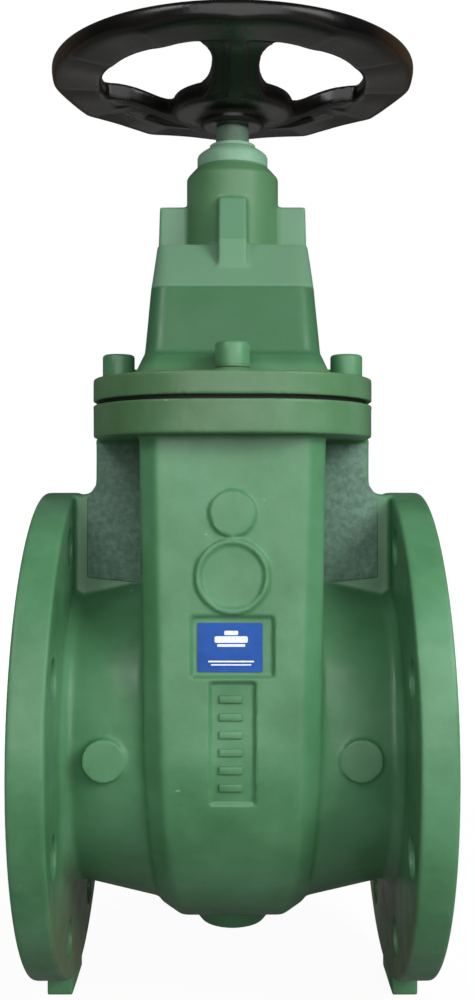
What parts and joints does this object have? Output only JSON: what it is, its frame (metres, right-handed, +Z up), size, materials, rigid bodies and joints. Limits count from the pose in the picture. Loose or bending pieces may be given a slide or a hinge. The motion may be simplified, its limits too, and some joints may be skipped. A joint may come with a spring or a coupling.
{
  "type": "flanged gate valve",
  "caption": "Short-bodied flanged gate valve with a tall tapered chamber, a domed bonnet, a non-rising stem and a dished spoked handwheel on top.",
  "frame": {"origin": "on the ground between the two feet, under the stem", "axes": "+X along the pipe to the right-hand flange, +Z up along the stem, -Y towards the face with the cast marks"},
  "size_m": [0.2, 0.25, 0.485],
  "materials": {
    "green_paint": "satin green paint over rough cast iron",
    "black_enamel": "gloss black enamel",
    "gasket_rubber": "matt black rubber",
    "bronze": "turned bronze",
    "bare_iron": "bare cast iron",
    "plated_steel": "zinc-plated steel"
  },
  "bodies": {
    "valve": {"valve_body": "green_paint", "seat_ring_left": "bronze", "seat_ring_right": "bronze", "bonnet_gasket": "gasket_rubber", "bonnet": "green_paint", "bonnet_screw_1": "green_paint", "bonnet_screw_2": "green_paint", "bonnet_screw_3": "green_paint", "bonnet_screw_4": "green_paint", "bonnet_screw_5": "green_paint", "bonnet_screw_6": "green_paint", "gland": "green_paint", "wiper_ring": "gasket_rubber"},
    "wheel_and_stem": {"handwheel": "black_enamel", "wheel_washer": "plated_steel", "wheel_bolt": "plated_steel", "stem": "green_paint"},
    "gate": {"gate_wedge": "bare_iron", "gate_ring_left": "bronze", "gate_ring_right": "bronze", "stem_nut": "bronze"}
  },
  "joints": [
    {"name": "handwheel_turn", "type": "hinge", "parent": "valve", "child": "wheel_and_stem", "pos_m": [0, 0, 0.4775], "axis": [0, 0, 1], "range_deg": [0, 9360]},
    {"name": "gate_lift", "type": "slide", "parent": "valve", "child": "gate", "axis": [0, 0, 1], "range_m": [0, 0.13]}
  ],
  "couplings": [
    {"joint": "gate_lift", "follows": "handwheel_turn", "m_per_rad": 0.00079577}
  ]
}
